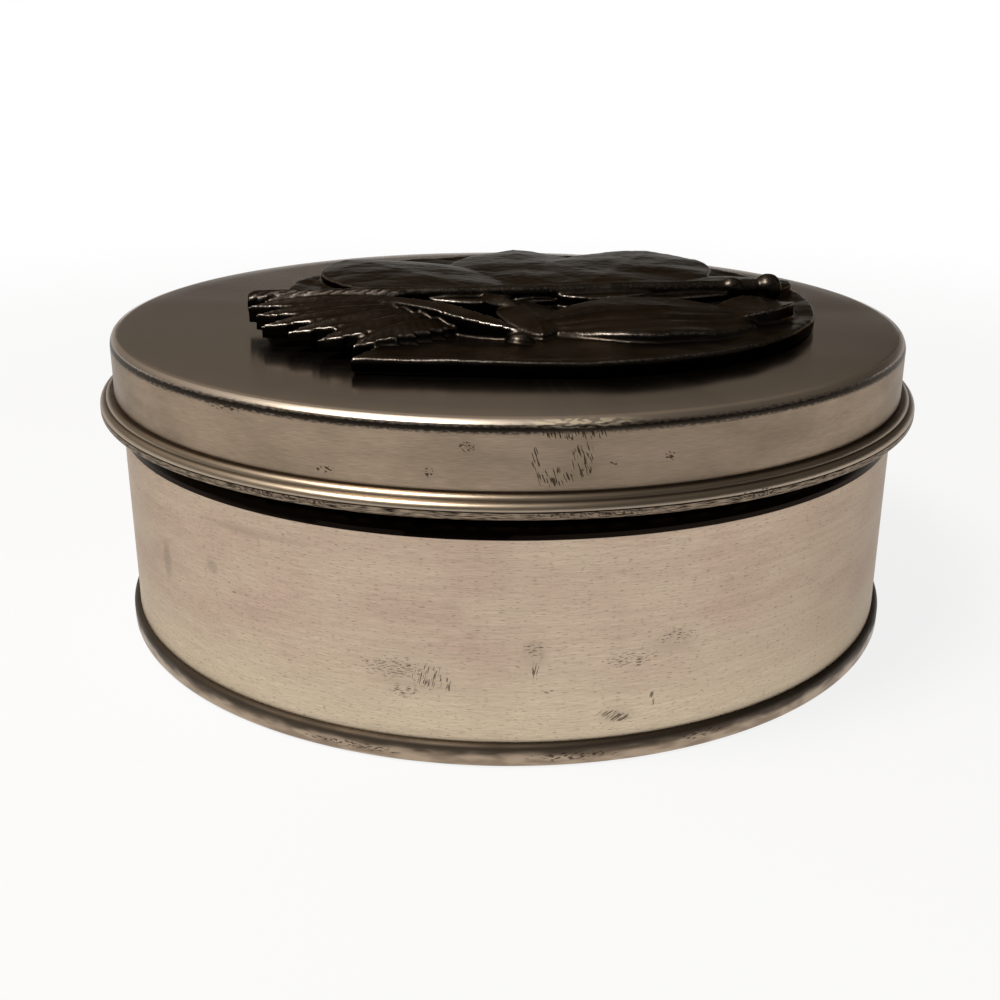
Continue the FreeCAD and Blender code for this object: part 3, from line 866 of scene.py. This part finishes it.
def wall_finish():
    """Bare brushed tinplate, warm and matte, with painted shade in the groove and down the right side, and a
    painted reflection of the floor towards the foot.
    """
    finish = Finish("brushed_wall")
    flat, height = finish.unrolled(WALL)
    cloud = finish.grain(flat, 13.0, 6.0, 0.0, 2.0)
    fine = finish.grain(flat, 2.6, 0.12, 0.0, 2.0)
    colour = finish.mix(finish.step(cloud, 0.3, 0.7), WALL_PALE, WALL_ROSY)
    # Painted reflection: the wall is lighter towards its foot, where it mirrors the bright floor.
    colour = finish.mix(finish.step(height, 3.0, 17.0, 0.85, 0.0), colour, WALL_FOOT_PAINTED_LIGHT)
    colour = finish.scaled(colour, brushed(finish, flat, fine))
    # Real smudges and the painted shade on the right side, in one colour
    stain_and_shade = 0.0
    for centre, size, depth in WALL_SMUDGES_AND_SHADE:
        soft = finish.math("MULTIPLY", finish.patch(flat, centre, size), depth)
        stain_and_shade = finish.math("MAXIMUM", stain_and_shade, soft)
    stain_and_shade = finish.math("MULTIPLY", stain_and_shade, finish.step(fine, 0.2, 0.7))
    colour = finish.mix(stain_and_shade, colour, STAIN_AND_SHADE)
    marks = finish.math("MULTIPLY", finish.marks(flat, WALL_MARKS), 0.75)
    specks = finish.step(finish.grain(flat, 1.0, 0.13), 0.66, 0.78, 0.0, 0.5)
    colour = finish.mix(finish.math("MAXIMUM", marks, specks), colour, GRIME_AND_CREASE_SHADE)
    # Painted shade: the groove under the lid's curl is coloured near-black.
    groove = finish.step(height, WALL_TOP / MM - 0.04, WALL_TOP / MM + 0.04)
    colour = finish.mix(groove, colour, GROOVE_PAINTED_SHADE)
    rough = finish.math("ADD", finish.math("MULTIPLY", cloud, 0.12), 0.34)
    rough = finish.math("SUBTRACT", rough, finish.math("MULTIPLY", groove, 0.2))
    finish.bump(finish.grain(flat, 2.6, 0.12), 0.2, 0.03 * MM)
    finish.shader.inputs["Specular Tint"].default_value = (0.7, 0.68, 0.66, 1.0)
    return finish.metal(colour, rough)


def lid_finish():
    """The lid: the same sheet, darker, smooth on its top, worn along the bend and the curl, with painted
    shade in the curl's creases and on the right of its wall, and a painted dark reflection along the foot of
    the bend.
    """
    finish = Finish("brushed_lid")
    flat, height = finish.unrolled(LID_WALL)
    cloud = finish.grain(flat, 12.0, 5.0, 0.0, 2.0)
    fine = finish.grain(flat, 1.8, 0.13, 0.0, 2.0)
    wall = finish.mix(finish.step(cloud, 0.3, 0.7), LID_PALE, LID_DARK)
    wall = finish.scaled(wall, brushed(finish, flat, fine))
    bend_low = (LID_TOP - LID_BEND) / MM
    on_bend = finish.step(height, bend_low, bend_low + 0.3)
    on_top = finish.step(height, LID_TOP / MM - 0.2, LID_TOP / MM - 0.1)
    top = finish.mix(finish.step(cloud, 0.3, 0.7), LID_TOP_PALE, LID_TOP_DARK)
    colour = finish.mix(on_bend, wall, top)
    # Painted dark reflection: a near-black band along the foot of the bend, under its highlight.
    ragged = finish.math("ADD", height, finish.math("MULTIPLY", finish.grain(flat, 0.7, 0.25), 0.4))
    bend_dark_reflection = finish.math("MULTIPLY", finish.step(ragged, bend_low - 0.05, bend_low + 0.45, 0.0, 0.97),
                         finish.step(ragged, bend_low + 0.8, bend_low + 1.4, 1.0, 0.0))
    colour = finish.mix(bend_dark_reflection, colour, LID_BEND_PAINTED_DARK)
    curl_top = (CURL_LOW + CURL_HEIGHT) / MM
    roll_top = (CURL_LOW + SHOULDER_HEIGHT) / MM
    hem_top = (CURL_LOW + CURL_HEM) / MM
    on_curl = finish.step(height, curl_top - 0.3, curl_top, 1.0, 0.0)
    on_hem = finish.step(height, hem_top, hem_top + 0.1, 1.0, 0.0)
    colour = finish.mix(on_curl, colour, LID_CURL)
    colour = finish.mix(on_hem, colour, finish.scaled(LID_HEM, finish.step(fine, 0.25, 0.7)))
    # Painted shade in the curl's three creases: over the hem, between the rolls and under the lid's wall.
    crease_shade = finish.line(height, hem_top + 0.08, 0.16)
    for level, depth in ((roll_top + 0.05, 0.8), (curl_top + 0.05, 0.6)):
        crease = finish.math("MULTIPLY", finish.line(height, level, 0.16), depth)
        crease_shade = finish.math("MAXIMUM", crease_shade, crease)
    colour = finish.mix(crease_shade, colour, GRIME_AND_CREASE_SHADE)
    # Painted shade: the right-hand part of the lid's wall is darkened.
    lid_shade_patch = finish.patch(flat, (20.0, 41.5), (30.0, 8.0))
    colour = finish.mix(finish.math("MULTIPLY", lid_shade_patch, 0.3), colour, LID_PAINTED_SHADE)
    marks = finish.math("MULTIPLY", finish.marks(flat, LID_MARKS), 0.9)
    colour = finish.mix(marks, colour, GRIME_AND_CREASE_SHADE)
    worn = finish.patch(flat, (9.0, LID_TOP / MM - 0.6), (9.5, 0.7))
    worn = finish.math("MULTIPLY", worn, finish.step(finish.grain(flat, 1.4, 0.3), 0.42, 0.56, 0.0, 0.75))
    colour = finish.mix(worn, colour, LID_WORN)
    rough = finish.math("ADD", finish.math("MULTIPLY", cloud, 0.1), 0.30)
    rough = finish.math("SUBTRACT", rough, finish.math("MULTIPLY", on_top, 0.19))
    rough = finish.math("ADD", rough, finish.math("MULTIPLY", worn, 0.2))
    bumps = finish.math("MULTIPLY", finish.grain(flat, 1.8, 0.13), finish.math("SUBTRACT", 1.0, on_top))
    finish.bump(bumps, 0.2, 0.03 * MM)
    finish.shader.inputs["Specular Tint"].default_value = (0.68, 0.66, 0.64, 1.0)
    return finish.metal(colour, rough)


def ring_finish():
    """The foot ring: stained, and darker along its upper edge."""
    finish = Finish("stained_ring")
    flat, height = finish.unrolled(WALL)
    cloud = finish.grain(flat, 5.0, 1.2, 0.0, 2.0)
    colour = finish.mix(finish.step(cloud, 0.35, 0.65), RING_PALE, RING_DARK)
    dark_level = finish.math("ADD", height, finish.math("MULTIPLY", cloud, 0.8))
    shoulder = finish.step(dark_level, 1.7, 2.9, 0.0, 0.92)
    colour = finish.mix(shoulder, colour, RING_UPPER_DARK)
    colour = finish.mix(finish.math("MULTIPLY", finish.marks(flat, RING_MARKS), 0.8), colour, GRIME_AND_CREASE_SHADE)
    rough = finish.math("ADD", finish.math("MULTIPLY", cloud, 0.2), 0.28)
    rough = finish.math("ADD", rough, finish.math("MULTIPLY", shoulder, 0.2))
    return finish.metal(colour, rough)


def pewter_finish():
    """Blackened cast pewter: black in its crevices, with painted shade on steep faces and on all that lies
    below the plaque's face, rubbed bright along the high edges.
    """
    finish = Finish("blackened_pewter")
    low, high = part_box("medallion")
    vector = finish.place()
    height = finish.axes(vector)[2]
    grain = finish.noise(finish.scaled(vector, 2.6), 2.0, 0.6)
    cloud = finish.noise(finish.scaled(vector, 0.16), 1.0)
    dark = finish.mix(finish.step(cloud, 0.3, 0.7), PEWTER_DARK, PEWTER_PALE)
    surface = finish.tree.nodes.new("ShaderNodeNewGeometry")
    facing_up = finish.axes(surface.outputs["Normal"])[2]
    face = low.z / MM + PLAQUE_THICK
    # Painted shade: steep faces, and everything below the plaque's face such as its sides and the hollow,
    # are darkened.
    steep_face_shade = finish.step(facing_up, 0.1, 0.55, 0.12, 1.0)
    low_part_shade = finish.step(height, face - 0.9, face - 0.35, 0.15, 1.0)
    dark = finish.scaled(dark, finish.math("MULTIPLY", steep_face_shade, low_part_shade))
    worn = finish.math("MULTIPLY", finish.math("SUBTRACT", grain, 0.5), 0.08)
    worn = finish.math("ADD", surface.outputs["Pointiness"], worn)
    centre = high.x / MM - PLAQUE_RADIUS
    for spot, size, depth in RUBBED:
        place = (centre + spot[0], spot[1], face + spot[2])
        worn = finish.math("ADD", worn, finish.math("MULTIPLY", finish.patch(vector, place, size), depth))
    edge = finish.step(worn, 0.505, 0.595)
    edge = finish.math("MULTIPLY", edge, finish.step(height, face - 0.4, face - 0.1))
    edge = finish.math("MULTIPLY", edge, finish.step(facing_up, 0.1, 0.45))
    edge = finish.math("MULTIPLY", edge, finish.step(facing_up, 0.90, 0.97, 1.0, 0.0))
    colour = finish.mix(edge, dark, PEWTER_RUBBED)
    colour = finish.mix(finish.step(worn, 0.40, 0.48, 1.0, 0.0), colour, PEWTER_HOLLOW)
    finish.shader.inputs["Specular Tint"].default_value = (0.50, 0.46, 0.42, 1.0)
    rough = finish.math("ADD", finish.math("MULTIPLY", grain, 0.16), 0.25)
    finish.bump(finish.noise(finish.scaled(vector, 4.0)), 0.25, 0.02 * MM)
    return finish.metal(colour, rough)


# The floor, the lights and the surroundings

FLOOR_NEAR = 0.12            # up to here the floor keeps part of its shadows
FLOOR_FAR = 0.45             # and from here on it is a plain white backdrop
NEAR_WHITE = 0.85
DISH_RADIUS = 2.5
DISH_BEND = 0.2
DISH_HEIGHT = 0.36
FLOOR_ROWS = 24
BEND_ROWS = 8
FLOOR_SEGMENTS = 96
FLOOR_PALE = (0.87, 0.87, 0.865, 1.0)

LAMP_PLACE = (-0.22, -0.18, 0.53)
LAMP_SIZE = 0.24
LAMP_POWER = 2.6
LAMP_COLOUR = (1.0, 0.965, 0.91)

# The room's light: how its share of left against back rises, between which values of it the strength
# grows from least to most, how much that gains with height, and its colour
ROOM_LEFT = -1.3
ROOM_SPAN = (-0.2, 1.05)
ROOM_STRENGTH = (0.045, 0.18)
ROOM_RISE = 3.0
ROOM_LOW = 0.18
ROOM_COLOUR = (1.0, 0.90, 0.78, 1.0)


def build_floor():
    """A pale round floor that bends up into a low backdrop all round."""
    profile = [(DISH_RADIUS * (i / FLOOR_ROWS) ** 1.5, 0.0) for i in range(FLOOR_ROWS + 1)]
    for i in range(1, BEND_ROWS + 1):
        angle = math.pi / 2.0 * i / BEND_ROWS
        profile.append((DISH_RADIUS + DISH_BEND * math.sin(angle), DISH_BEND * (1.0 - math.cos(angle))))
    profile.append((DISH_RADIUS + DISH_BEND, DISH_HEIGHT))
    count = FLOOR_SEGMENTS
    verts = [(0.0, 0.0, 0.0)]
    for radius, height in profile[1:]:
        for i in range(count):
            angle = 2.0 * math.pi * i / count
            verts.append((radius * math.cos(angle), radius * math.sin(angle), height))
    faces = [(0, 1 + i, 1 + (i + 1) % count) for i in range(count)]
    for row in range(len(profile) - 2):
        first = 1 + row * count
        for i in range(count):
            j = (i + 1) % count
            faces.append((first + i, first + count + i, first + count + j, first + j))
    mesh = bpy.data.meshes.new("floor")
    mesh.from_pydata(verts, [], faces)
    mesh.polygons.foreach_set("use_smooth", [True] * len(faces))
    floor = bpy.data.objects.new("floor", mesh)
    bpy.context.scene.collection.objects.link(floor)
    mesh.materials.append(floor_finish())


def floor_finish():
    """Matte and pale by the tin, and plain white backdrop further out."""
    finish = Finish("pale_floor")
    finish.shader.inputs["Base Color"].default_value = FLOOR_PALE
    finish.shader.inputs["Roughness"].default_value = 0.9
    radius = finish.vector("LENGTH", finish.place(), (0.0, 0.0, 0.0))
    far = finish.step(radius, FLOOR_NEAR / MM, FLOOR_FAR / MM, NEAR_WHITE, 1.0)
    path = finish.tree.nodes.new("ShaderNodeLightPath").outputs
    seen = finish.math("MAXIMUM", path["Is Camera Ray"], path["Is Glossy Ray"])
    seen = finish.math("MAXIMUM", seen, path["Is Transmission Ray"])
    white = finish.tree.nodes.new("ShaderNodeEmission")
    blend = finish.tree.nodes.new("ShaderNodeMixShader")
    finish.feed(blend.inputs[0], finish.math("MULTIPLY", far, seen))
    finish.feed(blend.inputs[1], finish.shader.outputs[0])
    finish.feed(blend.inputs[2], white.outputs[0])
    finish.feed(finish.tree.nodes["Material Output"].inputs["Surface"], blend.outputs[0])
    return finish.material


def build_lamp():
    """A soft round lamp, high at the front left, that faces the tin."""
    data = bpy.data.lights.new("main_lamp", "AREA")
    data.shape = "DISK"
    data.size = LAMP_SIZE
    data.energy = LAMP_POWER
    data.color = LAMP_COLOUR
    lamp = bpy.data.objects.new("main_lamp", data)
    lamp.location = LAMP_PLACE
    lamp.rotation_euler = (-Vector(LAMP_PLACE)).to_track_quat("-Z", "Y").to_euler()
    bpy.context.scene.collection.objects.link(lamp)


def build_room():
    """A dim room, lighter towards the left, the back and the ceiling."""
    world = bpy.data.worlds.new("room")
    bpy.context.scene.world = world
    world.use_nodes = True
    room = Nodes(world.node_tree)
    x, y, z = room.axes(room.tree.nodes.new("ShaderNodeTexCoord").outputs["Generated"])
    side = room.math("ADD", room.math("MULTIPLY", x, ROOM_LEFT), y)
    rising = room.math("ADD", room.math("MULTIPLY", z, ROOM_RISE), ROOM_LOW)
    strength = room.math("MULTIPLY", room.step(side, *ROOM_SPAN, *ROOM_STRENGTH), rising)
    background = room.tree.nodes["Background"]
    background.inputs["Color"].default_value = ROOM_COLOUR
    room.feed(background.inputs["Strength"], strength)


def dress(piece, node, material):
    """Set a piece's material, put it under the root body, and hide the CAD node that it takes the place of.
    """
    piece.data.materials.clear()
    piece.data.materials.append(material)
    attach(piece, "root")
    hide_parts(node)


build_camera()
build_floor()
build_lamp()
build_room()
dress(build_bottom_end(), "bottom_end", ring_finish())
dress(build_body(), "tin_body", wall_finish())
dress(build_lid(), "lid", lid_finish())
dress(build_medallion(), "medallion", pewter_finish())
bpy.context.scene.view_settings.view_transform = "Standard"
